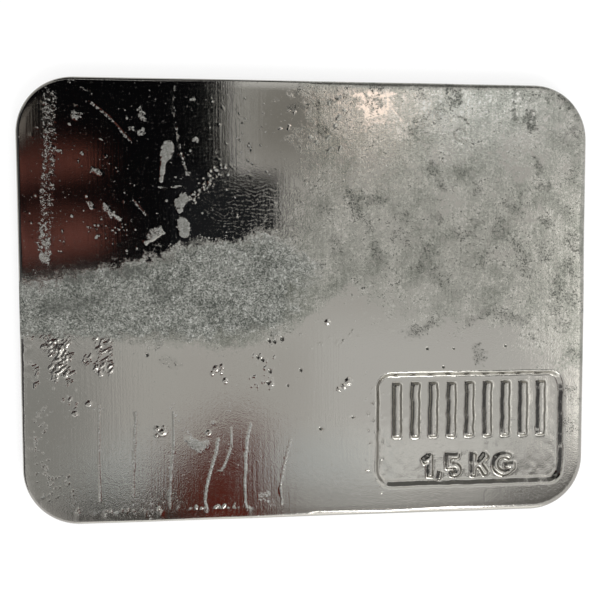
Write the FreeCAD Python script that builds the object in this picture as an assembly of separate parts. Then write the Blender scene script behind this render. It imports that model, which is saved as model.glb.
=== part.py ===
import FreeCAD, Part
import math
import os

# A cast lead ballast plate: one flat casting from an open mould, lying on its back.
# The origin is the middle of the back. +X runs along the length, +Y across the
# width, and +Z out of the marked face. Sizes are millimetres, angles are degrees.

# Plate, measured over the back, which is the larger face
LENGTH = 170.0
WIDTH = 131.0
THICKNESS = 6.15
CORNER_RADIUS = 16.8
WALL_DRAFT = 3.0
FACE_EDGE_ROUND = 1.2
BACK_EDGE_ROUND = 0.3

# Sunken marking panel, measured at its rim in the marked face
PANEL_LENGTH = 58.6
PANEL_WIDTH = 34.8
PANEL_DEPTH = 1.5
PANEL_CORNER_RADIUS = 4.8
PANEL_WALL_DRAFT = 38.0
PANEL_RIGHT_MARGIN = 6.8
PANEL_BOTTOM_MARGIN = 8.9

# Relief on the panel's floor: widths are taken on top of each ridge
RELIEF_HEIGHT = 1.2
RELIEF_DRAFT = 25.0
RELIEF_ROOT = 0.4

# Row of plain upright ribs along the top of the panel, margins from the rim
RIB_COUNT = 9
RIB_TOP_WIDTH = 1.6
RIB_TOP_MARGIN = 3.2
RIB_SIDE_MARGIN = 5.9
RIB_MARK_GAP = 5.0

# Weight mark along the bottom of the panel
MARK_HEIGHT = 7.6
MARK_STROKE = 0.9
MARK_MARGIN = 2.0
MARK_GAP = 0.9
MARK_WORD_GAP = 2.6

LEAD_DENSITY = 11.34e-6  # kilograms per cubic millimetre

UP = FreeCAD.Vector(0, 0, 1)
PANEL_FLOOR = THICKNESS - PANEL_DEPTH
RELIEF_SLOPE = RELIEF_HEIGHT * math.tan(math.radians(RELIEF_DRAFT))
RIB_LENGTH = PANEL_WIDTH - RIB_TOP_MARGIN - RIB_MARK_GAP - MARK_HEIGHT - MARK_MARGIN
RIB_PITCH = (PANEL_LENGTH - 2 * RIB_SIDE_MARGIN - RIB_TOP_WIDTH) / (RIB_COUNT - 1)


def rounded_rectangle(centre_x, centre_y, z, length, width, radius):
    """Closed wire of four sides and four quarter-circle corners."""
    edges = []
    corners = [(1, 1, 0), (-1, 1, 90), (-1, -1, 180), (1, -1, 270)]
    centres = []
    for sign_x, sign_y, start in corners:
        x = centre_x + sign_x * (length / 2 - radius)
        y = centre_y + sign_y * (width / 2 - radius)
        centres.append((FreeCAD.Vector(x, y, z), start))
    for index, (centre, start) in enumerate(centres):
        arc = Part.makeCircle(radius, centre, UP, start, start + 90)
        following, next_start = centres[(index + 1) % len(centres)]
        turn = math.radians(start + 90)
        reach = FreeCAD.Vector(math.cos(turn), math.sin(turn), 0) * radius
        edges.append(arc)
        edges.append(Part.makeLine(centre + reach, following + reach))
    return Part.Wire(edges)


def plate_body():
    """Plate with drafted walls, rounded along the marked face and the back."""
    inset = THICKNESS * math.tan(math.radians(WALL_DRAFT))
    back = rounded_rectangle(0, 0, 0, LENGTH, WIDTH, CORNER_RADIUS)
    face = rounded_rectangle(0, 0, THICKNESS, LENGTH - 2 * inset, WIDTH - 2 * inset,
                             CORNER_RADIUS - inset)
    body = Part.makeLoft([back, face], True, True)
    body = body.makeFillet(FACE_EDGE_ROUND, edges_at(body, THICKNESS))
    return body.makeFillet(BACK_EDGE_ROUND, edges_at(body, 0))


def edges_at(shape, z):
    """Edges that lie in the level plane at height z."""
    return [edge for edge in shape.Edges
            if abs(edge.BoundBox.ZMin - z) < 1e-4 and abs(edge.BoundBox.ZMax - z) < 1e-4]


def panel_centre():
    x = LENGTH / 2 - PANEL_RIGHT_MARGIN - PANEL_LENGTH / 2
    y = -WIDTH / 2 + PANEL_BOTTOM_MARGIN + PANEL_WIDTH / 2
    return x, y


def panel_pocket():
    """The space of the sunken panel: its walls slope in towards the floor."""
    x, y = panel_centre()
    inset = PANEL_DEPTH * math.tan(math.radians(PANEL_WALL_DRAFT))
    floor = rounded_rectangle(x, y, PANEL_FLOOR, PANEL_LENGTH - 2 * inset,
                              PANEL_WIDTH - 2 * inset, PANEL_CORNER_RADIUS - inset)
    rim = rounded_rectangle(x, y, THICKNESS + PANEL_DEPTH, PANEL_LENGTH + 2 * inset,
                            PANEL_WIDTH + 2 * inset, PANEL_CORNER_RADIUS + inset)
    return Part.makeLoft([floor, rim], True, True)


def ridge(start, end, top_width):
    """Straight ridge between two points of the floor, sloping on all four sides."""
    run_x = end[0] - start[0]
    run_y = end[1] - start[1]
    run = math.hypot(run_x, run_y)
    slope = math.tan(math.radians(RELIEF_DRAFT))
    root = (RELIEF_HEIGHT + RELIEF_ROOT) * slope
    half = top_width / 2
    low = -RELIEF_ROOT * slope
    bar = Part.makeWedge(low, -RELIEF_ROOT, -half - root, -half, low + root,
                         run - low, RELIEF_HEIGHT, half + root, half, run - low - root)
    bar.rotate(FreeCAD.Vector(0, 0, 0), FreeCAD.Vector(1, 0, 0), 90)
    bar.rotate(FreeCAD.Vector(0, 0, 0), UP, math.degrees(math.atan2(run_y, run_x)))
    bar.translate(FreeCAD.Vector(start[0], start[1], PANEL_FLOOR))
    return bar


def curved_ridge(centre, radius, start_angle, end_angle, top_width):
    """Ridge along an arc: radius is that of the ridge's middle line."""
    half_top = top_width / 2
    half_base = half_top + RELIEF_SLOPE
    section = Part.makePolygon([
        FreeCAD.Vector(radius - half_base, 0, -RELIEF_ROOT),
        FreeCAD.Vector(radius + half_base, 0, -RELIEF_ROOT),
        FreeCAD.Vector(radius + half_base, 0, 0),
        FreeCAD.Vector(radius + half_top, 0, RELIEF_HEIGHT),
        FreeCAD.Vector(radius - half_top, 0, RELIEF_HEIGHT),
        FreeCAD.Vector(radius - half_base, 0, 0),
        FreeCAD.Vector(radius - half_base, 0, -RELIEF_ROOT)])
    arc = Part.Face(section).revolve(FreeCAD.Vector(0, 0, 0), UP, end_angle - start_angle)
    arc.rotate(FreeCAD.Vector(0, 0, 0), UP, start_angle)
    arc.translate(FreeCAD.Vector(centre[0], centre[1], PANEL_FLOOR))
    return arc


def rib_row():
    """Upright ribs, centred along the panel's length."""
    x, y = panel_centre()
    top = y + PANEL_WIDTH / 2 - RIB_TOP_MARGIN
    first = x - RIB_PITCH * (RIB_COUNT - 1) / 2
    ribs = []
    for index in range(RIB_COUNT):
        rib_x = first + index * RIB_PITCH
        ribs.append(ridge((rib_x, top - RIB_LENGTH), (rib_x, top), RIB_TOP_WIDTH))
    return ribs


def mark_one(x, y):
    """Figure 1: a stem with a slanting flag."""
    width = 0.45 * MARK_HEIGHT
    stem = x + width - MARK_STROKE / 2 - RELIEF_SLOPE
    top = y + MARK_HEIGHT
    strokes = [ridge((stem, y), (stem, top), MARK_STROKE),
               ridge((x, y + 0.62 * MARK_HEIGHT), (stem, top - MARK_STROKE), MARK_STROKE)]
    return strokes, width


def mark_comma(x, y):
    """Decimal comma: a short slanting stroke that hangs below the line."""
    width = 0.26 * MARK_HEIGHT
    low = (x + 0.35 * width, y - 0.12 * MARK_HEIGHT)
    high = (x + 0.65 * width, y + 0.26 * MARK_HEIGHT)
    return [ridge(low, high, MARK_STROKE / 2)], width


def mark_five(x, y):
    """Figure 5: a top bar, a short stem and an open bowl."""
    width = 0.68 * MARK_HEIGHT
    half = MARK_STROKE / 2 + RELIEF_SLOPE
    top = y + MARK_HEIGHT
    bowl = 0.31 * MARK_HEIGHT
    centre = (x + width - bowl, y + bowl)
    shoulder = y + 2 * bowl - half
    strokes = [ridge((x, top - half), (x + width - half / 2, top - half), MARK_STROKE),
               ridge((x + half, shoulder - half), (x + half, top), MARK_STROKE),
               ridge((x, shoulder), (centre[0] + half / 2, shoulder), MARK_STROKE),
               curved_ridge(centre, bowl - half, -140, 90, MARK_STROKE)]
    return strokes, width


def mark_k(x, y):
    """Letter K: a stem, an arm and a leg."""
    width = 0.86 * MARK_HEIGHT
    half = MARK_STROKE / 2 + RELIEF_SLOPE
    top = y + MARK_HEIGHT
    tip = x + width - half
    strokes = [ridge((x + half, y), (x + half, top), MARK_STROKE),
               ridge((x + half, y + 0.38 * MARK_HEIGHT), (tip, top - half / 2), MARK_STROKE),
               ridge((x + 0.36 * width, y + 0.58 * MARK_HEIGHT), (tip, y + half / 2),
                     MARK_STROKE)]
    return strokes, width


def mark_g(x, y):
    """Letter G: an open ring with a bar and a short stem."""
    outer = MARK_HEIGHT / 2
    half = MARK_STROKE / 2 + RELIEF_SLOPE
    centre = (x + outer, y + outer)
    right = x + 2 * outer
    strokes = [curved_ridge(centre, outer - half, 42, 340, MARK_STROKE),
               ridge((centre[0], centre[1] - half / 2), (right, centre[1] - half / 2),
                     MARK_STROKE),
               ridge((right - half, y + 0.2 * MARK_HEIGHT), (right - half, centre[1]),
                     MARK_STROKE)]
    return strokes, 2 * outer


def weight_mark():
    """The mark 1,5 KG, centred along the panel's length."""
    glyphs = [(mark_one, MARK_GAP), (mark_comma, MARK_GAP), (mark_five, MARK_WORD_GAP),
              (mark_k, MARK_GAP / 2), (mark_g, 0)]
    centre_x, centre_y = panel_centre()
    baseline = centre_y - PANEL_WIDTH / 2 + MARK_MARGIN
    length = sum(glyph(0, 0)[1] + gap for glyph, gap in glyphs)
    x = centre_x - length / 2
    strokes = []
    for glyph, gap in glyphs:
        drawn, width = glyph(x, baseline)
        strokes.extend(drawn)
        x += width + gap
    return strokes


def lead_plate():
    plate = plate_body().cut(panel_pocket())
    plate = plate.fuse(rib_row() + weight_mark())
    return plate.removeSplitter()


os.makedirs("parts", exist_ok=True)
shape = lead_plate()
solid = shape.Solids[0]
print("solids", len(shape.Solids), "valid", shape.isValid())
print("volume mm3", round(solid.Volume, 1), "mass kg", round(solid.Volume * LEAD_DENSITY, 4))
solid.exportStep("parts/lead_plate.step")
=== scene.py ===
import math

import bpy
import numpy as np
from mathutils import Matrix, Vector
from mathutils.bvhtree import BVHTree
from mathutils.geometry import delaunay_2d_cdt


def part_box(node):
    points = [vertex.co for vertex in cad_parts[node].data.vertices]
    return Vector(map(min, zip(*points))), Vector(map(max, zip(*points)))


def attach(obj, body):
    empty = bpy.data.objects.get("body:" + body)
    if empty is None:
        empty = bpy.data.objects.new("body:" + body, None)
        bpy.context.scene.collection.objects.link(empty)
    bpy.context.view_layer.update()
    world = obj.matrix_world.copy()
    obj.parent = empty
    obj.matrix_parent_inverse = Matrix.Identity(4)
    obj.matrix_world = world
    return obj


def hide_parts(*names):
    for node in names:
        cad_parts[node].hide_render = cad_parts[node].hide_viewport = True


# A cast lead plate. Shapes are worked out in millimetres on a fine grid over the face,
# the "canvas", and the mesh is scaled to metres at the end.

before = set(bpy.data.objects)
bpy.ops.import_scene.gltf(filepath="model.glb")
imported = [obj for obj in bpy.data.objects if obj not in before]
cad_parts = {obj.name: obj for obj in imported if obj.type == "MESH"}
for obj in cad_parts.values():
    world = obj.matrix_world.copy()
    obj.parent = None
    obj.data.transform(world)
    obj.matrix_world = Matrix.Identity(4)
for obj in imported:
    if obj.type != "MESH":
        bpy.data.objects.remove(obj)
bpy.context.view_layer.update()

MM = 0.001
NODE = "lead_plate"
SEED = 7

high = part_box(NODE)[1]
HALF_LENGTH = high[0] / MM
HALF_WIDTH = high[1] / MM
TOP = high[2] / MM
CORNER_RADIUS = 16.8

# ---------------------------------------------------------------- canvas
# Its points are STEP apart, and it reaches MARGIN past the plate. Where nothing needs more,
# the mesh takes every COARSE-th point of it.
STEP = 0.1
MARGIN = 1.0
COARSE = 16
COLUMNS = int(2 * (HALF_LENGTH + MARGIN) / STEP / COARSE + 1) * COARSE + 1
ROWS = int(2 * (HALF_WIDTH + MARGIN) / STEP / COARSE + 1) * COARSE + 1
LEFT = -STEP * (COLUMNS - 1) / 2
BOTTOM = -STEP * (ROWS - 1) / 2
AXIS_X = (LEFT + STEP * np.arange(COLUMNS)).astype(np.float32)
AXIS_Y = (BOTTOM + STEP * np.arange(ROWS)).astype(np.float32)
GRID_X, GRID_Y = np.meshgrid(AXIS_X, AXIS_Y)

height = np.zeros((ROWS, COLUMNS), np.float32)
film = np.zeros_like(height)
tarnish_and_shade = np.zeros_like(height)
haze = np.zeros_like(height)
pale = np.zeros_like(height)
dark = np.zeros_like(height)
frost = np.zeros_like(height)

NOISE_TABLE = 128
NOISE_SHIFT = 1000.0
FAR = 1e3
TINY = 1e-9

# A soft line has its full value out to the core, which is a share of its width. The noise
# that makes its edge ragged has features of RAGGED_CELL.
RAGGED_CELL = 1.1
ADD_CORE = 0.3
ADD_SEED = 40
COVER_CORE = 0.6
COVER_SEED = 60


def smoothstep(edge0, edge1, value):
    """0 at edge0 and 1 at edge1, with a smooth slope between them."""
    t = np.clip((value - edge0) / (edge1 - edge0), 0, 1)
    return t * t * (3 - 2 * t)


def noise(x, y, cell, seed):
    """Smooth noise from -1 to 1 whose features are about cell millimetres across."""
    size = NOISE_TABLE
    source = np.random.default_rng(SEED * 1000 + seed)
    table = source.uniform(-1, 1, (size, size)).astype(np.float32)
    u, v = x / cell + NOISE_SHIFT, y / cell + NOISE_SHIFT
    column, row = np.floor(u).astype(np.int32), np.floor(v).astype(np.int32)
    fu, fv = u - column, v - row
    fu, fv = fu * fu * (3 - 2 * fu), fv * fv * (3 - 2 * fv)
    c0, c1, r0, r1 = column % size, (column + 1) % size, row % size, (row + 1) % size
    lower = table[r0, c0] * (1 - fu) + table[r0, c1] * fu
    upper = table[r1, c0] * (1 - fu) + table[r1, c1] * fu
    return lower * (1 - fv) + upper * fv


def fractal(x, y, cell, seed, octaves=3):
    """Sum of noises from cell down, each half as strong as the last, from -1 to 1."""
    total, size, share = 0, cell, 1.0
    for octave in range(octaves):
        total = total + share * noise(x, y, size, seed + octave)
        size, share = size / 2.1, share / 2
    return total / (2 - share * 2)


def blur(field, reach):
    """Gaussian blur of a canvas field, reach in millimetres."""
    count = max(1, int(3 * reach / STEP))
    kernel = np.exp(-0.5 * (np.arange(-count, count + 1) * STEP / reach) ** 2)
    kernel /= kernel.sum()
    for axis in (0, 1):
        padded = np.pad(field, [(count, count) if a == axis else (0, 0) for a in (0, 1)], "edge")
        size = field.shape[axis]
        field = sum(weight * np.take(padded, np.arange(i, i + size), axis)
                    for i, weight in enumerate(kernel)).astype(np.float32)
    return field


def near(points, reach):
    """Canvas window within reach of a line through points, and the distance from it."""
    points = np.array(points, float)
    (x0, y0), (x1, y1) = points.min(0) - reach, points.max(0) + reach
    columns = slice(max(0, int((x0 - LEFT) / STEP)), max(0, int((x1 - LEFT) / STEP) + 2))
    rows = slice(max(0, int((y0 - BOTTOM) / STEP)), max(0, int((y1 - BOTTOM) / STEP) + 2))
    x, y = GRID_X[rows, columns], GRID_Y[rows, columns]
    distance = np.full(x.shape, FAR)
    ends = zip(points[:-1], points[1:]) if len(points) > 1 else [(points[0], points[0])]
    for (ax, ay), (bx, by) in ends:
        dx, dy = bx - ax, by - ay
        along = ((x - ax) * dx + (y - ay) * dy) / max(dx * dx + dy * dy, TINY)
        along = np.clip(along, 0, 1)
        distance = np.minimum(distance, np.hypot(x - ax - along * dx, y - ay - along * dy))
    return (rows, columns), distance


def line(points, width, core, ragged, seed):
    """Canvas window of a soft line, or a soft spot where there is one point, and how strong
    it is there: 1 within the core's share of the width, and 0 beyond the width."""
    window, distance = near(points, 1.5 * width + 3 * ragged)
    if ragged:
        x, y = GRID_X[window], GRID_Y[window]
        distance = distance + ragged * fractal(x, y, RAGGED_CELL, seed)
    return window, (1 - smoothstep(core * width, width, distance)).astype(np.float32)


def add(field, points, width, value, ragged=0.0, seed=0):
    """Adds a soft line to a canvas field."""
    window, strength = line(points, width, ADD_CORE, ragged, ADD_SEED + seed)
    field[window] += value * strength


def cover(field, points, width, value, ragged=0.0, seed=0):
    """Like add, but the field keeps the larger of its own value and the line's."""
    window, strength = line(points, width, COVER_CORE, ragged, COVER_SEED + seed)
    field[window] = np.maximum(field[window], value * strength)


def zone(points):
    """Distance inside a closed outline, in millimetres: negative outside it."""
    distance = np.full(height.shape, FAR, np.float32)
    inside = np.zeros(height.shape, bool)
    for (ax, ay), (bx, by) in zip(points, points[1:] + points[:1]):
        dx, dy = bx - ax, by - ay
        along = np.clip(((GRID_X - ax) * dx + (GRID_Y - ay) * dy) / (dx * dx + dy * dy), 0, 1)
        distance = np.minimum(distance, np.hypot(GRID_X - ax - along * dx,
                                                 GRID_Y - ay - along * dy))
        if ay != by:
            crossing = (GRID_Y < max(ay, by)) & (GRID_Y >= min(ay, by))
            inside ^= crossing & (GRID_X < ax + (GRID_Y - ay) * dx / dy)
    return np.where(inside, distance, -distance)


def rounded_inset(x, y):
    """Distance of points inside the plate's outline."""
    dx = np.abs(x) - (HALF_LENGTH - CORNER_RADIUS)
    dy = np.abs(y) - (HALF_WIDTH - CORNER_RADIUS)
    outside = np.hypot(np.maximum(dx, 0), np.maximum(dy, 0))
    return CORNER_RADIUS - outside - np.minimum(np.maximum(dx, dy), 0)


# ---------------------------------------------------------------- shape taken from the CAD
RIM_WIDTH = 3.0
SEARCH_SPACING = 1.0
SUNK_DEPTH = 0.1
PANEL_MARGIN = 2.5
PANEL_EASE = 2.0
WINDOW_EDGE = 20
CAST_SHIFT = 0.22
CAST_CELL = 2.6
CAST_SOFTNESS = 0.3


def cad_face():
    """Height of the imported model's face against its highest plane, softened as a casting is,
    and the box of the sunken panel."""
    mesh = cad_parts[NODE].data
    tree = BVHTree.FromPolygons([v.co for v in mesh.vertices],
                                [tuple(p.vertices) for p in mesh.polygons])
    down = Vector((0, 0, -1))
    above = high[2] + 0.01

    def drop(x, y):
        hit = tree.ray_cast(Vector((x * MM, y * MM, above)), down)[0]
        return 0.0 if hit is None else hit[2] / MM - TOP

    search_x = np.arange(RIM_WIDTH - HALF_LENGTH, HALF_LENGTH - RIM_WIDTH, SEARCH_SPACING)
    search_y = np.arange(RIM_WIDTH - HALF_WIDTH, HALF_WIDTH - RIM_WIDTH, SEARCH_SPACING)
    sunk = [(x, y) for x in search_x for y in search_y
            if rounded_inset(x, y) > RIM_WIDTH and drop(x, y) < -SUNK_DEPTH]
    (x0, y0), (x1, y1) = np.min(sunk, 0) - PANEL_MARGIN, np.max(sunk, 0) + PANEL_MARGIN
    columns = range(int((x0 - LEFT) / STEP), int((x1 - LEFT) / STEP))
    rows = range(int((y0 - BOTTOM) / STEP), int((y1 - BOTTOM) / STEP))
    sharp = np.zeros_like(height)
    shift_x = CAST_SHIFT * fractal(GRID_X, GRID_Y, CAST_CELL, 90, 2)
    shift_y = CAST_SHIFT * fractal(GRID_X, GRID_Y, CAST_CELL, 94, 2)
    for row in rows:
        for column in columns:
            sharp[row, column] = drop(AXIS_X[column] + shift_x[row, column],
                                      AXIS_Y[row] + shift_y[row, column])
    window = (slice(rows[0] - WINDOW_EDGE, rows[-1] + WINDOW_EDGE),
              slice(columns[0] - WINDOW_EDGE, columns[-1] + WINDOW_EDGE))
    soft = sharp.copy()
    soft[window] = blur(sharp[window], CAST_SOFTNESS)
    return soft, (x0 + PANEL_EASE, y0 + PANEL_EASE, x1 - PANEL_EASE, y1 - PANEL_EASE)


relief, panel_box = cad_face()
height += relief

# ---------------------------------------------------------------- marks on the face
# Outlines of the part that has an oxide film, and of the thick oxide band across it.
BAND_TOP = [(-95, 5.5), (-78, 6.5), (-66, 9.5), (-52, 12.0), (-45, 13.5), (-40, 17), (-36, 18.5),
            (-22, 18.5)]
BAND_FOOT = [(-18, -14), (-44, -14), (-60, -10), (-95, -10)]
DULL_ZONE = BAND_TOP + [(-17, 21), (-8, 24), (-5, 34), (-7, 50), (-9, 80), (95, 80), (95, -80),
                        (84, -80), (80, -26), (60, -12), (26, -9), (6, -3), (-8, -10)] + BAND_FOOT
BAND_ZONE = BAND_TOP + [(-12, 21), (4, 14), (8, 4), (-4, -8)] + BAND_FOOT

# Each line has its points and its width. Scratches and dark stains also have a strength.
DRIPS = [
    ([(-27.9, -40.7), (-28.5, -44.6), (-30.2, -50.2), (-31.5, -55.5), (-31.9, -59.4),
      (-31.2, -62.0)], 0.27),
    ([(-18.2, -36.1), (-19.2, -40.3), (-19.8, -46.8), (-20.1, -53.5), (-20.0, -60.0),
      (-18.5, -65.1)], 0.25),
    ([(-23.9, -37.2), (-24.1, -43.5), (-26.1, -48.6), (-27.0, -50.3)], 0.13),
    ([(-40.9, -32.2), (-40.9, -42.4), (-41.8, -50.3), (-42.3, -60.6)], 0.18),
    ([(-51.7, -32.1), (-52.3, -40.7), (-52.8, -50.0), (-52.8, -57.2)], 0.22),
    ([(-6.3, -41.2), (-8.3, -49.2), (-9.4, -54.9), (-9.1, -60.6)], 0.22),
    ([(-62.3, -29.8), (-62.6, -44.0), (-62.5, -58.3)], 0.2)]
DROPLETS = [
    ([(-42.1, 42.8), (-41.4, 45.2)], 2.1), ([(-42.8, 41.5), (-43.2, 38.0)], 0.8),
    ([(-43.2, 38.5), (-43.5, 35.6)], 0.55), ([(-37.4, 30.2), (-38.4, 29.0)], 1.8),
    ([(-37.4, 23.2), (-37.0, 20.8)], 2.1), ([(-38.4, 27.0)], 0.9),
    ([(-35.2, -41.6), (-32.9, -42.8)], 1.35)]
SCRATCHES = [
    ([(-68.9, 64.2), (-63.4, 60.7)], 0.6, 0.35),
    ([(-62.8, 57.3), (-58.4, 53.8), (-55.1, 50.0), (-52.2, 46.7)], 0.36, 0.6),
    ([(-51.8, 30.0), (-48.0, 25.4)], 0.25, 0.6),
    ([(-39.6, 61.9), (-39.5, 55.2), (-39.3, 51.9), (-38.0, 45.2), (-36.4, 38.9)], 0.22, 0.5),
    ([(-45.9, 33.8), (-41.8, 33.5), (-37.6, 33.9)], 0.22, 0.6),
    ([(-25.5, -7.1), (-14.3, -7.1)], 0.3, 0.7),
    ([(15.8, -22.5), (18.0, -20.2)], 0.3, 0.6), ([(-83.0, -31.6), (-61.0, -31.0)], 0.25, 0.3)]

PALE_LOBES = [
    ([(-76.5, 17.5)], 1.2), ([(-76.8, 13.5)], 1.3), ([(-67.6, 53.9)], 1.2),
    ([(-49.2, 55.6), (-48.6, 53.6)], 0.9), ([(-49.0, 49.4)], 1.1), ([(-51.9, 50.3)], 0.7),
    ([(-62.9, 38.3), (-60.8, 37.4)], 0.8), ([(-63.9, 28.8)], 0.9), ([(-63.5, 27.6)], 0.5),
    ([(-60.0, 28.6), (-57.8, 25.8)], 0.8), ([(-57.6, 25.9), (-55.4, 24.4)], 0.5),
    ([(-34.2, 58.9)], 0.8), ([(-33.6, 47.5)], 0.7), ([(-38.0, 43.2)], 0.5),
    ([(-35.9, 37.7)], 0.6), ([(-65.9, 43.3)], 0.5), ([(-44.5, 21.3), (-46.8, 19.9)], 1.1),
    ([(-59.2, 42.5)], 0.35), ([(-60.9, 47.2)], 0.3), ([(-48.0, 17.6), (-43.6, 20.6)], 0.6),
    ([(-15.4, -58.3), (-13.6, -57.6)], 0.9), ([(-29.3, -35.8)], 0.7), ([(-72.4, -52.0)], 0.5),
    ([(-36.4, -40.6), (-33.2, -43.4), (-31.4, -42.2)], 1.3), ([(-31.2, -41.0)], 0.6)]
SMEARS = [([(-41.2, -30.5), (-39.4, -34.5), (-37.2, -39.0), (-35.4, -41.5)], 1.6),
          ([(-48.5, -58.0), (-48.2, -63.0)], 2.2), ([(-14.4, -59.8), (-11.5, -60.2)], 1.6),
          ([(-25.5, -29.8), (-25.0, -34.0)], 1.0), ([(-52.4, -36.0), (-52.6, -62.0)], 1.1)]
DARK_STAINS = [
    ([(-70.5, 8.0), (-64.0, 7.6)], 1.4, 0.8), ([(-58.5, 9.2), (-51.5, 8.8)], 1.5, 0.8),
    ([(-45.0, 3.0), (-41.0, 2.0)], 1.0, 0.5), ([(-76.0, -1.0), (-62.0, 1.0)], 1.8, 0.5),
    ([(28.6, -9.8), (33.6, -8.1), (39.5, -5.6)], 0.9, 0.8), ([(31.5, -9.0)], 1.7, 0.7),
    ([(51.1, -18.0), (51.2, -15.2)], 1.4, 0.75), ([(61.2, 60.7), (61.8, 55.0)], 0.5, 1.0),
    ([(66.5, 56.0), (67.5, 52.6)], 1.3, 1.0),
    ([(41.5, 63.2), (44.5, 61.2), (43.5, 59.5)], 1.2, 1.0),
    ([(63.0, 62.8), (68.0, 61.6)], 0.9, 0.6),
    ([(71.5, 61.8), (76.0, 61.0), (79.5, 58.8)], 1.2, 0.9),
    ([(81.0, 56.0), (81.5, 50.5)], 0.9, 0.7), ([(11.5, 31.5), (13.0, 29.5)], 1.6, 0.9),
    ([(14.0, 26.8)], 0.8, 1.0), ([(16.0, 31.0), (21.0, 30.0)], 1.2, 0.65),
    ([(3.0, 52.0), (4.2, 49.8)], 0.9, 0.7), ([(36.0, 40.5), (37.2, 38.2)], 1.0, 0.65),
    ([(38.5, 34.8), (41.5, 33.6)], 0.7, 0.85), ([(49.0, 36.0), (50.5, 33.5)], 1.3, 0.5),
    ([(69.0, 43.0), (69.6, 38.5)], 0.9, 0.75), ([(70.0, 34.8), (72.0, 34.3)], 0.9, 0.75),
    ([(61.0, 29.0), (62.5, 27.0)], 1.2, 0.65), ([(49.5, 25.0), (51.2, 23.5)], 1.0, 0.75),
    ([(57.5, 25.0), (58.5, 23.0)], 1.0, 0.65), ([(38.0, 25.5), (39.4, 24.0)], 0.9, 0.65),
    ([(25.5, 20.0), (29.0, 18.4)], 1.5, 0.5), ([(70.0, 24.6), (72.0, 23.6)], 1.0, 0.65),
    ([(16.5, 24.8), (17.2, 21.2)], 0.9, 0.5), ([(-3.0, 64.2), (-3.8, 61.6)], 0.8, 0.7),
    ([(18.5, 63.6), (20.5, 63.4)], 0.9, 0.8), ([(6.8, 62.0)], 0.6, 0.6),
    ([(-5.5, 57.0), (-0.9, 57.7), (3.6, 58.5), (13.6, 60.0)], 0.6, 0.7),
    ([(-43.0, -16.6), (-40.0, -18.0)], 1.3, 0.35), ([(44.0, 20.0), (49.0, 19.5)], 1.2, 0.5),
    ([(76.5, 6.0), (75.0, -2.0), (77.0, -8.0)], 1.4, 0.5), ([(57.5, -4.5), (66.0, -6.5)], 1.3, 0.6),
    ([(48.5, -6.0), (54.0, -3.5)], 0.9, 0.6), ([(31.0, 51.0), (42.0, 58.5)], 2.0, 0.42),
    ([(63.0, 17.0), (66.0, 12.0)], 1.2, 0.5), ([(34.0, 10.0), (40.0, 6.0)], 1.4, 0.45),
    ([(-57.0, -62.5), (-48.0, -61.8)], 1.0, 0.6), ([(-48.0, -57.0), (-40.0, -58.0)], 1.6, 0.4)]
# x, y, radius, and the angles where the ring starts and ends.
RINGS = [(45.0, 49.5, 1.9, 0, 300), (44.2, 51.6, 3.4, 25, 155), (66.0, 31.0, 2.4, 60, 330)]
# x, y and radius.
PITS = [(-48.4, -15.2, 0.45), (-12.4, -20.7, 0.5), (-13.0, -24.2, 0.5), (-3.2, -20.5, 0.4),
        (-7.1, -25.0, 0.3), (35.2, -14.5, 0.4), (43.4, -14.6, 0.3), (-14.6, -17.2, 0.5),
        (-16.0, -16.4, 0.45), (-12.6, -11.5, 0.5), (-11.0, -11.8, 0.5), (-8.8, -11.0, 0.6),
        (40.2, -20.2, 0.4), (59.6, -14.0, 0.35), (2.6, -38.3, 0.4), (12.4, -35.0, 0.25)]
BLISTERS = [(-61.8, -20.6, 0.7), (-28.4, -19.6, 0.8), (-27.0, -20.6, 0.6), (-26.6, -19.0, 0.5),
            (-29.4, -21.0, 0.5), (-25.7, -23.1, 0.7), (-69.3, -32.2, 0.7), (-65.3, -29.3, 0.8),
            (-45.6, -37.2, 0.8), (-44.2, -38.2, 1.0), (-43.6, -36.8, 0.5), (-45.9, -39.2, 0.6),
            (-30.7, -38.7, 0.6), (11.1, -24.0, 1.1), (9.9, -25.4, 0.8), (4.9, -6.1, 0.8),
            (8.4, -26.4, 0.7), (-11.8, -24.4, 0.6), (-73.0, -13.0, 0.9), (-59.2, -12.0, 0.5)]
# Points, how far the specks stray from them, their number and their size.
SPECK_CHAINS = [
    ([(-35.6, 27.5), (-34.0, 32.0), (-30.0, 36.5), (-24.5, 40.0)], 1.0, 70, 0.42),
    ([(-34.0, 32.0), (-29.0, 35.0)], 0.7, 26, 0.4), ([(-34.0, 19.5), (-25.0, 18.3)], 0.6, 30, 0.3),
    ([(-66.0, 23.0), (-60.0, 20.5), (-53.0, 22.5)], 0.8, 34, 0.28),
    ([(-19.5, 58.0), (-18.5, 37.0)], 1.3, 24, 0.28),
    ([(-68.0, 54.5), (-66.0, 53.0)], 0.8, 14, 0.35),
    ([(-39.6, 61.9), (-39.3, 51.9), (-36.4, 38.9)], 0.3, 30, 0.22)]
# Box, and the number and size of the small folds in it.
LEAF_PATCHES = [
    ((-78.6, -14.0, -71.0, -9.2), 52, 0.62), ((-76.4, -23.0, -70.2, -14.0), 70, 0.6),
    ((-63.9, -20.6, -58.6, -10.4), 66, 0.52), ((-84.0, -14.4, -81.2, -8.8), 14, 0.5),
    ((-84.2, -24.9, -79.4, -17.8), 26, 0.45), ((-75.4, -31.0, -69.0, -23.0), 16, 0.35),
    ((-67.0, -18.0, -64.6, -15.0), 10, 0.45), ((-84.0, -50.0, -77.5, -30.0), 60, 0.34),
    ((-82.0, -60.0, -70.0, -50.0), 34, 0.3), ((-18.8, -26.5, -11.0, -13.0), 30, 0.32),
    ((-4.0, -14.0, 14.0, -9.0), 12, 0.3), ((-10.0, 42.0, 10.0, 60.0), 14, 0.4),
    ((16.0, -60.0, 24.0, -26.0), 24, 0.32)]
LEAF_RISE = 0.4
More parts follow.
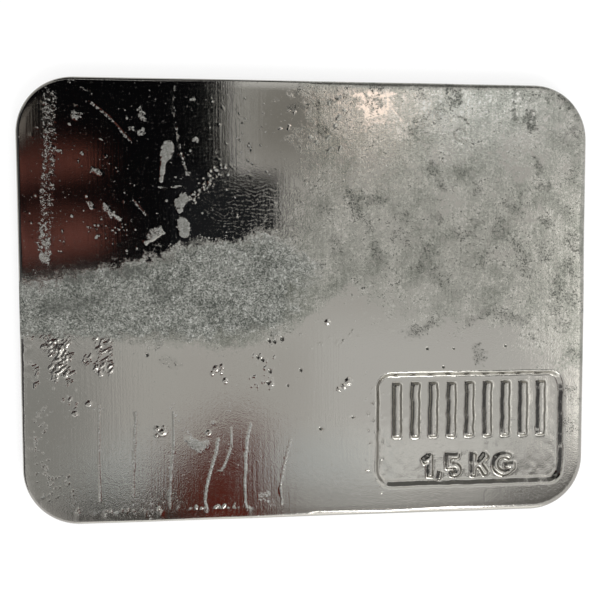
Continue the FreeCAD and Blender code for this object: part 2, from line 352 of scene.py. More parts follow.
GLINT_ROW = (-70.0, -62.6, -17.0, -61.2)
GLINT_COUNT = 48
GLINT_SIZE = 0.36
GLINT_RISE = 0.55
ROUGH_STRIP = [(-74.6, 60.0), (-75.0, 46.0), (-76.0, 30.0), (-77.0, 13.5)]
ROUGH_COUNT = 330
ROUGH_REACH = 1.9
STRAY_BOX = (-84, 14, -10, 64)
STRAY_COUNT = 150
SPECK_RAGGED = 0.2

# Places where the film is frosted, smooth or stained, and the clear middle of the haze.
FROST_ZONES = [([(-24.0, 29.0), (-14.0, 27.0), (-8.0, 26.0)], 10.0, 1.0),
               ([(-27.0, 42.0), (-25.0, 60.0)], 7.0, 0.35), ([(-45.0, 58.0)], 14.0, 0.12),
               ([(-57.0, 22.0), (-45.0, 24.0)], 8.0, 0.25)]
SMOOTH_PATCHES = [((16, 40), 11), ((62, 44), 13), ((42, 28), 8), ((38, 44), 7), ((66, 26), 6),
                  ((56, 14), 5), ((24, 22), 6), ((78, 40), 5)]
EDGE_STAINS = [(80.5, 36), (79, 26), (81, 17), (79.5, 9), (80, 0), (78.5, -8), (81, -17),
               (82, -30), (80.5, -40), (78, 48), (72, 14), (66, 9), (58, 20), (52, 12), (36, 14),
               (28, 24), (14, 26), (20, 14), (8, 16), (4, 28), (46, 38), (20, 58), (33, 62)]
SMOOTH_CORE = (18.0, -22.0, 34.0, 15.0)

# How strong the fields are, and where they are weaker.
FILM = 0.74
FILM_ON_BAND = 0.5
FILM_LOST_HIGH = 0.08
FILM_LOST_AT_LAMP = 0.26
FILM_LOST_IN_PATCH = 0.2
LAMP_PLACE = (18.5, 59.0)
TARNISH_LOW = 0.45
# Painted shade: this also darkens the thick oxide band towards the left.
TARNISH_AND_PAINTED_SHADE_LEFT = 0.5
HAZE_IN_CORE = 0.2
DARK_BELT = 0.1

band = zone(BAND_ZONE)
dull = zone(DULL_ZONE)
wander = fractal(GRID_X, GRID_Y, 12, 70, 3)
film += (FILM * smoothstep(-7, 12, dull + 5 * wander)
         + FILM_ON_BAND * smoothstep(-2.5, 3, band))
film -= FILM_LOST_HIGH * smoothstep(45, 56, GRID_Y + 3 * wander)
lamp_x, lamp_y = LAMP_PLACE
from_lamp = np.hypot((GRID_X - lamp_x) / 1.2, GRID_Y - lamp_y)
film -= FILM_LOST_AT_LAMP * smoothstep(10, 2, from_lamp + 2 * wander)
for (x, y), radius in SMOOTH_PATCHES:
    distance = np.hypot(GRID_X - x, 1.2 * (GRID_Y - y)) + 0.4 * radius * wander
    film -= FILM_LOST_IN_PATCH * smoothstep(radius, 0.3 * radius, distance)
tarnish_and_shade += smoothstep(-4, 6, band + 2 * wander) * smoothstep(16, -20, GRID_X + 8 * wander)
tarnish_and_shade *= TARNISH_LOW + (1 - TARNISH_LOW) * smoothstep(-14, -4, GRID_Y + 3 * wander)
# Painted shade: towards the left the band's field rises above 1, and the material paints that
# excess as darker oxide colour.
tarnish_and_shade += TARNISH_AND_PAINTED_SHADE_LEFT * smoothstep(-30, -80, GRID_X) * smoothstep(-2, 2, band)
core_x, core_y, core_length, core_width = SMOOTH_CORE
calm = np.hypot((GRID_X - core_x) / core_length, (GRID_Y - core_y) / core_width)
clear = smoothstep(0.6, 1.25, calm + 0.2 * wander)
haze += smoothstep(2, -12, GRID_Y) * (HAZE_IN_CORE + (1 - HAZE_IN_CORE) * clear)
for points, reach, value in FROST_ZONES:
    cover(frost, points, reach, value, ragged=2.0)


def mark(points, width, rise, paleness, seed, ragged=0.0, pale_ragged=0.0, pale_reach=1.0):
    """Raised or sunken line on the face that also shows pale."""
    add(height, points, width, rise, ragged, seed)
    cover(pale, points, pale_reach * width, paleness, pale_ragged, seed)


for index, (points, width) in enumerate(DRIPS):
    mark(points, width, rise=0.11, paleness=0.66, seed=index, pale_ragged=0.12)
for index, (points, width) in enumerate(DROPLETS):
    mark(points, width, rise=0.1, paleness=0.95, seed=index, pale_ragged=0.5)
for index, (points, width, value) in enumerate(SCRATCHES):
    mark(points, width, rise=-0.05, paleness=0.75 * value, seed=index, pale_ragged=0.4)
for index, (points, width) in enumerate(PALE_LOBES):
    mark(points, width, rise=0.08, paleness=0.52, seed=index, ragged=0.5, pale_ragged=0.8,
         pale_reach=1.25)
for index, (points, width) in enumerate(SMEARS):
    cover(pale, points, width, value=0.26, ragged=0.8, seed=index)
for index, (points, width, value) in enumerate(DARK_STAINS):
    cover(dark, points, 1.5 * width, 0.62 * value, ragged=2.4, seed=index)
for x, y, radius, start, end in RINGS:
    turns = np.radians(np.arange(start, end + 1, 15))
    points = [(x + radius * math.cos(turn), y + radius * math.sin(turn)) for turn in turns]
    add(height, points, width=0.35, value=-0.05)
    cover(dark, points, width=0.5, value=0.35, ragged=0.4, seed=int(x))
for x, y in EDGE_STAINS:
    cover(dark, [(x, y), (x - 1.0, y + 1.5)], width=2.4, value=0.3, ragged=2.4, seed=int(x))
dark += (DARK_BELT * smoothstep(-10, 4, GRID_Y) * smoothstep(36, 14, GRID_Y)
         * smoothstep(-4, 20, GRID_X))
for x, y, radius in PITS:
    add(height, [(x, y)], 1.3 * radius, value=-0.3)
    cover(dark, [(x, y)], 1.2 * radius, value=1.3, ragged=0.1)
for x, y, radius in BLISTERS:
    add(height, [(x, y)], 1.3 * radius, 0.36 * radius, ragged=0.4)

random = np.random.default_rng(SEED)


def scatter_leaves(box, count, size, rise):
    """Small raised folds of metal in a box, longer than they are wide and leaning right."""
    x0, y0, x1, y1 = box
    for _ in range(count):
        x, y = random.uniform(x0, x1), random.uniform(y0, y1)
        length = size * random.uniform(0.8, 3.4)
        angle = math.radians(random.uniform(15, 85))
        radius = size * random.uniform(0.4, 0.85)
        end = (x + length * math.cos(angle), y + length * math.sin(angle))
        add(height, [(x, y), end], radius, rise * radius, 0.2, random.integers(9))


def place_on(points):
    """Random place on the line through points."""
    along = random.uniform(0, len(points) - 1)
    before = min(int(along), len(points) - 2)
    share = along - before
    (ax, ay), (bx, by) = points[before:before + 2]
    return ax * (1 - share) + bx * share, ay * (1 - share) + by * share


def speck(x, y, radius, rise, paleness):
    """Small raised spot that also shows pale."""
    add(height, [(x, y)], radius, rise)
    cover(pale, [(x, y)], radius, paleness, SPECK_RAGGED)


for box, count, size in LEAF_PATCHES:
    scatter_leaves(box, count, size, LEAF_RISE)
scatter_leaves(GLINT_ROW, GLINT_COUNT, GLINT_SIZE, GLINT_RISE)
cover(pale, ROUGH_STRIP, width=2.4, value=0.3, ragged=0.8)
for _ in range(ROUGH_COUNT):
    x, y = place_on(ROUGH_STRIP)
    x += random.uniform(-ROUGH_REACH, ROUGH_REACH)
    radius = random.uniform(0.12, 0.3)
    speck(x, y, radius, 0.05, random.uniform(0.3, 0.7))
for points, spread, count, size in SPECK_CHAINS:
    for _ in range(count):
        x, y = place_on(points)
        x, y = x + random.normal(0, spread), y + random.normal(0, spread)
        radius = size * random.uniform(0.4, 1.0)
        speck(x, y, radius, 0.2 * radius, random.uniform(0.35, 0.8))
x0, y0, x1, y1 = STRAY_BOX
for _ in range(STRAY_COUNT):
    x, y = random.uniform(x0, x1), random.uniform(y0, y1)
    radius = 0.15 + 0.3 * random.random() ** 3
    speck(x, y, radius, 0.06, random.uniform(0.5, 1.0))

PANEL_UNEVENNESS = 0.06
PANEL_FADE = 2
WARP = 0.05
RIPPLE = 0.012
x0, y0, x1, y1 = panel_box
in_panel = (smoothstep(x0, x0 + PANEL_FADE, GRID_X) * smoothstep(x1, x1 - PANEL_FADE, GRID_X)
            * smoothstep(y0, y0 + PANEL_FADE, GRID_Y) * smoothstep(y1, y1 - PANEL_FADE, GRID_Y))
height += PANEL_UNEVENNESS * in_panel * fractal(GRID_X, GRID_Y, 2.4, 80, 3)
height += WARP * fractal(GRID_X, GRID_Y, 34, 1, 2) + RIPPLE * fractal(GRID_X, GRID_Y, 7, 5, 2)


# ---------------------------------------------------------------- mesh
# FIELD_NEEDS says how much a field's slope counts beside the height's. DETAIL_LEVELS pairs
# a slope with the spacing that it needs, in canvas steps.
RIM_SPACING = 0.8
RIM_INSET = 3.6
FACE_GAP = 0.45
WALL_DRAFT = math.radians(3)
BACK_ROUND = 0.4
FACE_ROLL = 1.7
FACE_DROP = 1.15
BACK_SPACING = 2.0
BACK_HOLLOW = 0.12
FIELD_NEEDS = ((pale, 0.075), (dark, 0.035), (film, 0.06), (tarnish_and_shade, 0.06))
DETAIL_LEVELS = ((0.0135, 8), (0.056, 4), (0.34, 2))
SAME_POINT = 1e-6


def sample(field, x, y):
    """Value of a canvas field at points between its cells."""
    u = np.clip((x - LEFT) / STEP, 0, COLUMNS - 1.001)
    v = np.clip((y - BOTTOM) / STEP, 0, ROWS - 1.001)
    column, row = u.astype(int), v.astype(int)
    fu, fv = u - column, v - row
    return ((field[row, column] * (1 - fu) + field[row, column + 1] * fu) * (1 - fv)
            + (field[row + 1, column] * (1 - fu) + field[row + 1, column + 1] * fu) * fv)


def perimeter():
    """Points along the outline at equal spacing, and the outward normal at each."""
    straight_x = 2 * (HALF_LENGTH - CORNER_RADIUS)
    straight_y = 2 * (HALF_WIDTH - CORNER_RADIUS)
    points, normals = [], []
    corners = [(1, 1, 0), (-1, 1, 90), (-1, -1, 180), (1, -1, 270)]
    for (sign_x, sign_y, start), side in zip(corners, (straight_x, straight_y) * 2):
        centre = np.array([sign_x * straight_x / 2, sign_y * straight_y / 2])
        count = round(math.radians(90) * CORNER_RADIUS / RIM_SPACING)
        for i in range(count):
            angle = math.radians(start + 90 * i / count)
            normal = np.array([math.cos(angle), math.sin(angle)])
            points.append(centre + CORNER_RADIUS * normal)
            normals.append(normal)
        angle = math.radians(start + 90)
        normal = np.array([math.cos(angle), math.sin(angle)])
        tangent = np.array([-normal[1], normal[0]])
        count = round(side / RIM_SPACING)
        for i in range(count):
            points.append(centre + CORNER_RADIUS * normal + tangent * side * i / count)
            normals.append(normal)
    return np.array(points), np.array(normals)


def rim_rows(points):
    """Rows of the wall from the back to the face: how far in each lies, and its height."""
    x, y = points[:, 0], points[:, 1]
    roll = FACE_ROLL + 0.5 * noise(x, y, 23, 11) + 0.3 * np.sign(x)
    drop = FACE_DROP + 0.2 * noise(x, y, 17, 12)
    level = np.ones(len(points))
    rows = []
    for angle in np.radians([0, 30, 60, 90]):
        rows.append((BACK_ROUND * (1 - math.sin(angle)) * level,
                     BACK_ROUND * (1 - math.cos(angle)) * level))
    wall_top = TOP - drop
    for share in (0.25, 0.5, 0.75):
        z = BACK_ROUND + share * (wall_top - BACK_ROUND)
        rows.append((z * math.tan(WALL_DRAFT), z))
    start = wall_top * math.tan(WALL_DRAFT)
    for angle in np.radians([0, 15, 30, 45, 60, 75, 90]):
        rows.append((start + roll * (1 - math.cos(angle)), wall_top + drop * math.sin(angle)))
    rows.append((RIM_INSET * level, TOP * level))
    return rows


def detail_points():
    """Canvas points over the face, closer together where its shape or marks need them."""
    need = np.hypot(*np.gradient(height, STEP))
    for field, share in FIELD_NEEDS:
        need = np.maximum(need, share * np.hypot(*np.gradient(field, STEP)))
    chosen = np.zeros(height.shape, bool)
    chosen[::COARSE, ::COARSE] = True
    for limit, spacing in DETAIL_LEVELS:
        size = 2 * spacing
        shape = ((ROWS - 1) // size, size, (COLUMNS - 1) // size, size)
        blocks = need[:-1, :-1].reshape(shape).max((1, 3))
        for row, column in zip(*np.nonzero(blocks > limit)):
            chosen[row * size:(row + 1) * size + 1:spacing,
                   column * size:(column + 1) * size + 1:spacing] = True
    rows, columns = np.nonzero(chosen)
    x, y = AXIS_X[columns], AXIS_Y[rows]
    keep = rounded_inset(x, y) > RIM_INSET + FACE_GAP
    return np.stack([x[keep], y[keep]], 1)


def fill(loop, inner):
    """Triangles that fill a closed loop of points, through the inner points."""
    points = [Vector(p) for p in np.vstack([loop, inner])]
    edges = [(i, (i + 1) % len(loop)) for i in range(len(loop))]
    result = delaunay_2d_cdt(points, edges, [], 1, SAME_POINT)
    coordinates, faces, sources = result[0], result[2], result[3]
    assert len(coordinates) == len(points)
    order = [source[0] for source in sources]
    return np.array([[order[i] for i in face] for face in faces])


def add_fields(mesh, points):
    """Stores the canvas fields on the mesh. The back and the lower wall have plain values."""
    on_face = points[:, 2] > 0.5 * TOP
    fields = {"film": (film, 0.7), "tarnish_and_shade": (tarnish_and_shade, 0.3), "haze": (haze, 1.0),
              "pale": (pale, 0.0), "dark": (dark, 0.0), "frost": (frost, 0.0)}
    for name, (field, elsewhere) in fields.items():
        values = np.where(on_face, sample(field, points[:, 0], points[:, 1]), elsewhere)
        layer = mesh.attributes.new(name, "FLOAT", "POINT")
        layer.data.foreach_set("value", values.astype(np.float32))


def plate_mesh():
    """Wall rows around the outline, with the face and the back filled in as triangles. The
    marks of the face fade out down the wall."""
    edge, normals = perimeter()
    count = len(edge)
    vertices, faces = [], []
    rows = rim_rows(edge)
    for number, (inset, z) in enumerate(rows):
        xy = edge - normals * inset[:, None]
        fade = min(1.0, number / (len(rows) - 3)) ** 3
        z = z + fade * sample(height, xy[:, 0], xy[:, 1])
        vertices.append(np.column_stack([xy, z]))
    for number in range(len(rows) - 1):
        a = number * count + np.arange(count)
        b = number * count + (np.arange(count) + 1) % count
        quads = np.column_stack([a, b, b + count, a + count])
        faces.extend(quads.tolist())

    face_points = detail_points()
    first = len(rows) * count
    z = TOP + sample(height, face_points[:, 0], face_points[:, 1])
    vertices.append(np.column_stack([face_points, z]))
    loop = vertices[len(rows) - 1][:, :2]
    triangles = fill(loop, face_points)
    shift = np.where(triangles < count, triangles + (len(rows) - 1) * count,
                     triangles - count + first)
    faces.extend(shift.tolist())

    back_x, back_y = np.meshgrid(np.arange(-HALF_LENGTH, HALF_LENGTH, BACK_SPACING),
                                 np.arange(-HALF_WIDTH, HALF_WIDTH, BACK_SPACING))
    keep = rounded_inset(back_x, back_y) > BACK_SPACING
    back = np.stack([back_x[keep], back_y[keep]], 1)
    first = sum(len(v) for v in vertices)
    hollow = BACK_HOLLOW + BACK_HOLLOW * fractal(back[:, 0], back[:, 1], 14, 21, 3)
    vertices.append(np.column_stack([back, np.maximum(hollow, 0)]))
    triangles = fill(vertices[0][:, :2], back)[:, ::-1]
    faces.extend(np.where(triangles < count, triangles, triangles - count + first).tolist())

    points = np.vstack(vertices)
    mesh = bpy.data.meshes.new("plate")
    mesh.from_pydata((points * MM).tolist(), [], faces)
    mesh.shade_smooth()
    mesh.update()
    add_fields(mesh, points)
    return mesh


plate = bpy.data.objects.new("plate", plate_mesh())
bpy.context.scene.collection.objects.link(plate)
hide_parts(NODE)
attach(plate, "root")


# ---------------------------------------------------------------- material
class Nodes:
    """Short names for making and joining shader nodes."""

    def __init__(self, material):
        material.use_nodes = True
        self.tree = material.node_tree
        self.tree.nodes.clear()

    def make(self, kind, inputs=(), **settings):
        node = self.tree.nodes.new(kind)
        for key, value in settings.items():
            setattr(node, key, value)
        for key, value in dict(inputs).items():
            self.join(value, node.inputs[key])
        return node

    def join(self, value, socket):
        if isinstance(value, bpy.types.NodeSocket):
            self.tree.links.new(value, socket)
        else:
            socket.default_value = value

    def math(self, operation, *values):
        return self.make("ShaderNodeMath", enumerate(values), operation=operation).outputs[0]

    def plus(self, first, second):
        return self.math("ADD", first, second)

    def minus(self, first, second):
        return self.math("SUBTRACT", first, second)

    def times(self, first, second):
        return self.math("MULTIPLY", first, second)

    def larger(self, first, second):
        return self.math("MAXIMUM", first, second)

    def vector(self, operation, first, second):
        return self.make("ShaderNodeVectorMath", {0: first, 1: second},
                         operation=operation).outputs[0]

    def ramp(self, value, start, end, low_value=0.0, high_value=1.0):
        """Smooth rise from low_value at start to high_value at end."""
        node = self.make("ShaderNodeMapRange", {0: value, 1: start, 2: end, 3: low_value,
                                                4: high_value},
                         interpolation_type="SMOOTHSTEP")
        return node.outputs[0]

    def mix(self, factor, first, second):
        """Blend of two colours."""
        node = self.make("ShaderNodeMix", {0: factor, 6: first, 7: second}, data_type="RGBA")
        return node.outputs[2]

    def blend(self, factor, first, second):
        """Blend of two numbers."""
        node = self.make("ShaderNodeMix", {0: factor, 2: first, 3: second}, data_type="FLOAT")
        return node.outputs[0]

    def colours(self, value, stops):
        """Colour that goes through the stops as value rises."""
        node = self.make("ShaderNodeValToRGB", {0: value})
        elements = node.color_ramp.elements
        while len(elements) < len(stops):
            elements.new(0.5)
        for element, (position, colour) in zip(elements, stops):
            element.position = position
            element.color = colour
        return node.outputs[0]


SKIN = ((0.372, 0.352, 0.325, 1), (0.385, 0.378, 0.345, 1))
THIN_OXIDE = [(0.0, (0.12, 0.125, 0.105, 1)), (0.40, (0.285, 0.288, 0.255, 1)),
              (0.62, (0.375, 0.368, 0.332, 1)), (1.0, (0.52, 0.505, 0.465, 1))]
THICK_OXIDE = [(0.0, (0.035, 0.04, 0.033, 1)), (0.36, (0.122, 0.128, 0.112, 1)),
               (0.62, (0.245, 0.25, 0.225, 1)), (0.85, (0.37, 0.375, 0.345, 1)),
               (1.0, (0.60, 0.60, 0.57, 1))]
PALE_FILM = [(0.2, (0.13, 0.13, 0.115, 1)), (0.55, (0.25, 0.25, 0.23, 1)),
             (0.9, (0.42, 0.42, 0.40, 1))]
DARK_STAIN = (0.060, 0.062, 0.053, 1)

# Pairs of values: on clean and on hazy skin, or on thin and on thick oxide.
SMOOTH_ROUGHNESS = (0.05, 0.07)
STREAK_ROUGHNESS = (0.12, 0.14)
OXIDE_ROUGHNESS = (0.17, 0.60)
OXIDE_METALLIC = (0.9, 0.35)
SKIN_RELIEF = (0.006, 0.021)
OXIDE_RELIEF = (0.03, 0.10)
STREAK_RELIEF = (0.014, 0.02)

CURL_ROUGHNESS = 0.10
CURL_RELIEF = 0.008
STAIN_RELIEF = 0.03
PALE_METALLIC = 0.3
PALE_SHARE = 0.92
STAIN_SHARE = 0.85
STAIN_TINT = 0.35
STAIN_NEEDS_FILM = 0.12
THIN_SPOT_SHARE = 0.8
# Painted shade: how much the field's excess over 1 darkens the thick oxide.
THICK_OXIDE_PAINTED_SHADE = 0.08
DUST = 0.035


def lead_material():
    """Mirror-like lead skin, partly under a thin film, thick oxide, pale films and stains."""
    material = bpy.data.materials.new("lead")
    n = Nodes(material)
    place = n.make("ShaderNodeTexCoord").outputs["Object"]
    place = n.vector("MULTIPLY", place, (1 / MM, 1 / MM, 1 / MM))

    def noise_node(scale, detail=3, stretch=(1, 1, 1), twist=0.0):
        vector = n.vector("MULTIPLY", place, stretch)
        return n.make("ShaderNodeTexNoise", {"Vector": vector, "Scale": scale, "Detail": detail,
                                             "Distortion": twist}).outputs["Fac"]

    def mixed(*parts):
        """Sum of noises about one half, each with its own strength."""
        total = 0.5
        for value, strength in parts:
            total = n.plus(total, n.times(n.minus(value, 0.5), strength))
        return total

    def field_value(name):
        return n.make("ShaderNodeAttribute", attribute_name=name).outputs["Fac"]

    # noises, from the finest to the widest
    cells = n.make("ShaderNodeTexVoronoi", {"Vector": place, "Scale": 2.8}).outputs["Color"]
    pepper = n.make("ShaderNodeSeparateColor", {0: cells}).outputs[0]
    fine = noise_node(3.2, 2)
    fleck = noise_node(1.7, 4, (0.8, 1.1, 1))
    grain = noise_node(1.1, 4)
    blotch = noise_node(0.4, 4, twist=0.6)
    mottle = noise_node(0.14, 4, twist=0.5)
    cloud = noise_node(0.045, 3)
    streak = noise_node(1.6, 3, (1, 0.04, 1))

    # masks: a field plus noises, cut off along a soft edge
    haze = field_value("haze")
    dark_field = field_value("dark")
    tarnish_and_shade_field = field_value("tarnish_and_shade")
    edge = mixed((blotch, 1.5), (grain, 0.9), (fine, 0.5))
    covered = n.ramp(n.plus(field_value("film"), edge), 0.78, 1.28)
    edge = mixed((blotch, 1.2), (mottle, 1.0))
    tarnished = n.ramp(n.plus(tarnish_and_shade_field, edge), 0.75, 1.3)
    edge = mixed((grain, 1.3), (fine, 1.3))
    pale_mask = n.ramp(n.plus(field_value("pale"), edge), 0.82, 1.15)
    spots = mixed((fleck, 1.7), (fine, 2.5), (pepper, 0.9))
    shown = n.plus(dark_field, n.times(n.minus(covered, 1.0), STAIN_NEEDS_FILM))
    stained = n.larger(covered, n.ramp(dark_field, 0.03, 0.2))
    dark_mask = n.times(n.ramp(n.plus(shown, spots), 1.0, 1.26), stained)
    spots = mixed((fine, 2.2), (fleck, 1.6), (pepper, 0.7), (mottle, 2.2), (blotch, 1.7))
    thin_spots = n.ramp(spots, 1.06, 1.34)
    specks = mixed((pepper, 1.3), (fine, 2.0), (blotch, 0.8), (mottle, 0.6))
    dust = n.times(n.ramp(specks, 0.95, 1.45), n.times(n.minus(1.0, haze), DUST))

    # thin curls over the frosted places, from rings that are bent out of shape
    bend = n.make("ShaderNodeTexNoise", {"Vector": place, "Scale": 0.3}).outputs["Color"]
    bent = n.vector("ADD", place, n.vector("MULTIPLY", bend, (3.0, 3.0, 0.0)))
    swirl = n.make("ShaderNodeTexWave", {"Vector": bent, "Scale": 0.3, "Distortion": 14.0,
                                         "Detail": 3.0, "Detail Scale": 0.35},
                   wave_type="RINGS").outputs["Fac"]
    curls = n.times(n.ramp(swirl, 0.72, 0.98), field_value("frost"))
    curls = n.times(curls, n.ramp(grain, 0.38, 0.6))

    skin = n.mix(cloud, *SKIN)
    thin = mixed((pepper, 0.30), (fine, 0.9), (streak, 0.4), (grain, 0.7), (blotch, 0.9),
                 (mottle, 1.1), (cloud, 0.5))
    thin = n.colours(thin, THIN_OXIDE)
    # Painted shade: the field's excess over 1, on the left of the band, darkens the thick oxide
    # colour.
    left_painted_shade = n.times(n.larger(n.minus(tarnish_and_shade_field, 1.0), 0.0), THICK_OXIDE_PAINTED_SHADE)
    thick = mixed((pepper, 0.65), (fine, 1.45), (grain, 0.7), (blotch, 0.6), (mottle, 0.8))
    thick = n.colours(n.minus(thick, left_painted_shade), THICK_OXIDE)
    colour = n.mix(covered, skin, n.mix(tarnished, thin, thick))
    colour = n.mix(n.times(thin_spots, n.times(covered, THIN_SPOT_SHARE)), colour, DARK_STAIN)
    colour = n.mix(n.times(dark_field, STAIN_TINT), colour, DARK_STAIN)
    pale_colour = n.colours(mixed((pepper, 0.3), (fine, 1.0), (grain, 0.8)), PALE_FILM)
    colour = n.mix(n.times(pale_mask, PALE_SHARE), colour, pale_colour)
    colour = n.mix(n.times(dark_mask, STAIN_SHARE), colour, DARK_STAIN)

    dullness = n.larger(n.larger(covered, pale_mask), dust)
    mirror_rough = n.blend(haze, *(n.blend(streak, smooth, rough) for smooth, rough
                                   in zip(SMOOTH_ROUGHNESS, STREAK_ROUGHNESS)))
    mirror_rough = n.plus(mirror_rough, n.times(curls, CURL_ROUGHNESS))
    roughness = n.blend(dullness, mirror_rough, n.blend(tarnished, *OXIDE_ROUGHNESS))
    metallic = n.blend(dullness, 1.0, n.blend(tarnished, *OXIDE_METALLIC))
    metallic = n.blend(pale_mask, metallic, PALE_METALLIC)

    skin_relief = n.times(mixed((fine, 1.1), (grain, 0.7)), n.blend(haze, *SKIN_RELIEF))
    oxide_relief = n.times(mixed((fine, 1.0), (grain, 1.0), (pepper, 0.2)),
                           n.blend(tarnished, *OXIDE_RELIEF))
    lines = n.times(streak, n.blend(haze, *STREAK_RELIEF))
    relief = n.blend(dullness, skin_relief, oxide_relief)
    relief = n.plus(relief, n.times(curls, CURL_RELIEF))
    relief = n.minus(relief, n.times(dark_mask, STAIN_RELIEF))
    bump = n.make("ShaderNodeBump", {"Strength": 1.0, "Distance": MM,
                                     "Height": n.plus(relief, lines)})
    surface = n.make("ShaderNodeBsdfPrincipled",
                     {"Base Color": colour, "Metallic": metallic, "Roughness": roughness,
                      "Normal": bump.outputs[0]})
    n.make("ShaderNodeOutputMaterial", {"Surface": surface.outputs[0]})
    return material


plate.data.materials.append(lead_material())


# ---------------------------------------------------------------- stage
FLOOR_SIZE = 6
FLOOR_GREY = 0.5
FLOOR_GLOW = 0.52


def white_material():
    """Floor that shows white, and still takes the plate's shadow."""
    material = bpy.data.materials.new("floor")
    n = Nodes(material)
    path = n.make("ShaderNodeLightPath").outputs
    seen = n.larger(path["Is Camera Ray"],
                    n.larger(path["Is Glossy Ray"], path["Is Transmission Ray"]))
    diffuse = n.make("ShaderNodeBsdfDiffuse", {"Color": (FLOOR_GREY, FLOOR_GREY, FLOOR_GREY, 1)})
    glow = n.make("ShaderNodeEmission", {"Color": (1, 1, 1, 1),
                                         "Strength": n.times(seen, FLOOR_GLOW)})
    both = n.make("ShaderNodeAddShader", {0: diffuse.outputs[0], 1: glow.outputs[0]})
    n.make("ShaderNodeOutputMaterial", {"Surface": both.outputs[0]})
    return material


def plane(name, centre, size, material):
    """Flat rectangle of the stage."""
    x, y = size[0] / 2, size[1] / 2
    mesh = bpy.data.meshes.new(name)
    mesh.from_pydata([(-x, -y, 0), (x, -y, 0), (x, y, 0), (-x, y, 0)], [], [(0, 1, 2, 3)])
    mesh.materials.append(material)
    thing = bpy.data.objects.new(name, mesh)
    thing.location = centre
    bpy.context.scene.collection.objects.link(thing)
    return thing


CAMERA_PLACE = Vector((-0.01421, 0.00642, high[2] + 0.1631))
CARD_HEIGHT = 0.30
CARD_SCALE = 1 + CARD_HEIGHT / (CAMERA_PLACE.z - high[2])
CARD_LEVEL = 0.004
WOBBLE_SCALE = 9.0
PATCH_SCALE = 16.0


def card(name, centre, size, colour, soft, turn=(0, 0, 0), wobble=0.0, patchy=0.0):
    """Stage card that only reflections see: a patch of one colour with soft edges."""
    material = bpy.data.materials.new(name)
    n = Nodes(material)
    place = n.make("ShaderNodeTexCoord").outputs["Object"]
    shift = n.make("ShaderNodeTexNoise", {"Vector": place, "Scale": WOBBLE_SCALE}).outputs["Color"]
    shift = n.vector("SUBTRACT", shift, (0.5, 0.5, 0.5))
    shift = n.vector("MULTIPLY", shift, (wobble, wobble, 0))
    place = n.vector("ADD", place, shift)
    split = n.make("ShaderNodeSeparateXYZ", {0: place}).outputs
    inside = [n.ramp(n.math("ABSOLUTE", split[axis]), size[axis] / 2, size[axis] / 2 - soft)
              for axis in (0, 1)]
    strength = 1.0
    if patchy:
        cloudy = n.make("ShaderNodeTexNoise", {"Vector": place, "Scale": PATCH_SCALE})
        strength = n.ramp(cloudy.outputs["Fac"], 0.35, 0.65, 1 - patchy, 1 + patchy)
    clear = n.make("ShaderNodeBsdfTransparent")
    glow = n.make("ShaderNodeEmission", {"Color": (*colour, 1), "Strength": strength})
    both = n.make("ShaderNodeMixShader", {0: n.times(*inside), 1: clear.outputs[0],
                                          2: glow.outputs[0]})
    n.make("ShaderNodeOutputMaterial", {"Surface": both.outputs[0]})
    margin = max(soft, wobble)
    thing = plane(name, centre, (size[0] + margin, size[1] + margin), material)
    thing.rotation_euler = [math.radians(angle) for angle in turn]
    thing.visible_camera = False
    thing.visible_diffuse = False
    thing.visible_shadow = False
    thing.visible_transmission = False


def mirrored(name, box, colour, soft, wobble=0.0, level=0, patchy=0.0):
    """Card overhead that the camera sees mirrored in this box of the face, in millimetres.
    A card of a higher level hangs below the others and hides them."""
    x0, y0, x1, y1 = (value * MM for value in box)
    middle = Vector(((x0 + x1) / 2, (y0 + y1) / 2, 0))
    eye = Vector((CAMERA_PLACE.x, CAMERA_PLACE.y, 0))
    centre = eye + (middle - eye) * CARD_SCALE
    centre.z = high[2] + CARD_HEIGHT - CARD_LEVEL * level
    size = ((x1 - x0) * CARD_SCALE, (y1 - y0) * CARD_SCALE)
    card(name, centre, size, colour, soft * MM * CARD_SCALE,
         wobble=wobble * MM * CARD_SCALE, patchy=patchy)


plane("floor", (0, 0, 0), (FLOOR_SIZE, FLOOR_SIZE), white_material())

# Name, box, colour, width of the soft edge, wobble, level and patchiness.
BLACK = (0.004, 0.004, 0.005)
mirrored("upper_shade", (-20, -14, 96, 58), (0.88, 0.875, 0.86), 16, 4, -1)
mirrored("grey_upper", (-34, 26, 28, 82), (0.40, 0.39, 0.365), 24, 4, 0)
mirrored("dark_body", (-150, 2, -20, 120), BLACK, 7, 2, 1)
mirrored("dark_hand", (-40, 10, -7.5, 38.0), (0.02, 0.021, 0.025), 2.0, 1.5, 2)
mirrored("red_upper", (-116, 31, -57, 48.5), (0.20, 0.070, 0.056), 9, 14, 3, 0.5)
mirrored("red_lower", (-116, 9, -54, 30), (0.22, 0.082, 0.068), 9, 14, 4, 0.5)
mirrored("corner_grey", (-100, 44, -76.5, 60), (0.27, 0.245, 0.225), 5, 4, 5)
mirrored("top_light", (10, 51, 74, 76), (2.75, 2.8, 2.8), 8, 2, 0)
mirrored("warm_glow", (3, 46, 33, 71), (2.5, 2.16, 1.98), 9, 3, 1)
mirrored("warm_lamp", (13.5, 53.5, 22.5, 63.5), (3.4, 2.9, 2.6), 4, 2, 2)
mirrored("blue_window", (26, 51, 64, 68), (1.70, 1.82, 1.88), 7, 3, 2)
mirrored("right_light", (76, -50, 108, 42), (2.4, 2.39, 2.33), 8, 3, 1)
mirrored("left_shade", (-130, -90, -36, 12), (0.50, 0.505, 0.495), 36, 4, 0)
mirrored("centre_shade", (-66, -90, 8, 0), (0.84, 0.835, 0.82), 14, 3, 1)
mirrored("panel_light", (4, -57, 66, -36), (1.4, 1.42, 1.42), 10, 3, 0)
mirrored("bottom_shade", (-96, -96, 80, -55), (0.45, 0.445, 0.44), 6, 3, 2)
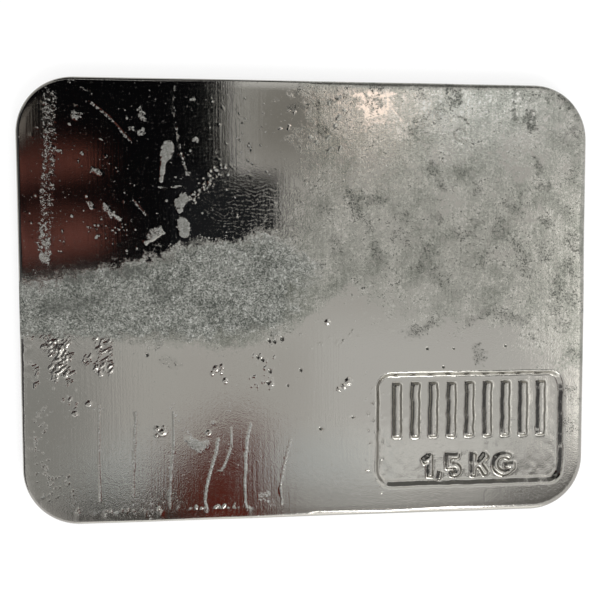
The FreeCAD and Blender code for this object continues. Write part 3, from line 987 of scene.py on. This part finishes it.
mirrored("corner_shade", (52, -96, 110, -48), (0.25, 0.245, 0.24), 9, 3, 3)
mirrored("blue_glow", (-66, -54, 20, -41), (0.88, 0.98, 1.04), 6, 3, 2)
mirrored("brown_base", (-51.5, -96, -7, -51.5), (0.15, 0.118, 0.103), 6, 3, 3)
mirrored("red_wide", (-45, -92, -13, -40.5), (0.155, 0.034, 0.020), 3.5, 4, 4)
mirrored("red_base", (-31, -92, -14.5, -32), (0.175, 0.022, 0.012), 2.5, 3, 5, 0.2)
mirrored("dark_foot", (-67, -96, -54.5, -50.5), (0.03, 0.028, 0.025), 2.5, 2, 5)
mirrored("dark_heel", (-53, -96, -36, -53.5), (0.04, 0.032, 0.028), 3.5, 3, 6)

# Cards that stand around the plate: name, centre, size, colour, soft edge and turn.
card("left_side", (-0.42, 0, 0.2), (0.4, 0.56), (0.12, 0.12, 0.125), 0.05, (0, 90, 0))
card("far_corner", (-0.37, 0.35, 0.2), (0.36, 0.4), (0.5, 0.5, 0.495), 0.03, (90, 0, 45))
card("far_left", (-0.13, 0.40, 0.18), (0.34, 0.36), (0.05, 0.05, 0.05), 0.03, (90, 0, 0))
card("far_right", (0.17, 0.401, 0.18), (0.36, 0.36), (0.20, 0.20, 0.195), 0.03, (90, 0, 0))
card("near_side", (0.05, -0.36, 0.13), (0.5, 0.22), (1.9, 1.9, 1.86), 0.05, (90, 0, 0))

KEY_PLACE = Vector((0.13, -0.34, 0.34))
KEY_SIZE = 0.14
KEY_ENERGY = 0.6
key_data = bpy.data.lights.new("key", "AREA")
key_data.size = KEY_SIZE
key_data.energy = KEY_ENERGY
key = bpy.data.objects.new("key", key_data)
key.location = KEY_PLACE
key.rotation_euler = (-KEY_PLACE).to_track_quat("-Z", "Y").to_euler()
bpy.context.scene.collection.objects.link(key)

world = bpy.data.worlds.new("studio")
bpy.context.scene.world = world
world.use_nodes = True
background = world.node_tree.nodes["Background"]
background.inputs["Color"].default_value = (1, 1, 1, 1)
background.inputs["Strength"].default_value = 1.0

# ---------------------------------------------------------------- camera
CAMERA_LENS = 33.0
CAMERA_SENSOR = 36.0
CAMERA_CLIP = 0.005
CAMERA_TURN = (-2.04, -3.82, -0.277)
camera_data = bpy.data.cameras.new("camera")
camera_data.lens = CAMERA_LENS
camera_data.sensor_width = CAMERA_SENSOR
camera_data.clip_start = CAMERA_CLIP
camera = bpy.data.objects.new("camera", camera_data)
camera.location = CAMERA_PLACE
camera.rotation_euler = [math.radians(angle) for angle in CAMERA_TURN]
bpy.context.scene.collection.objects.link(camera)
bpy.context.scene.camera = camera
bpy.context.scene.view_settings.view_transform = "Standard"
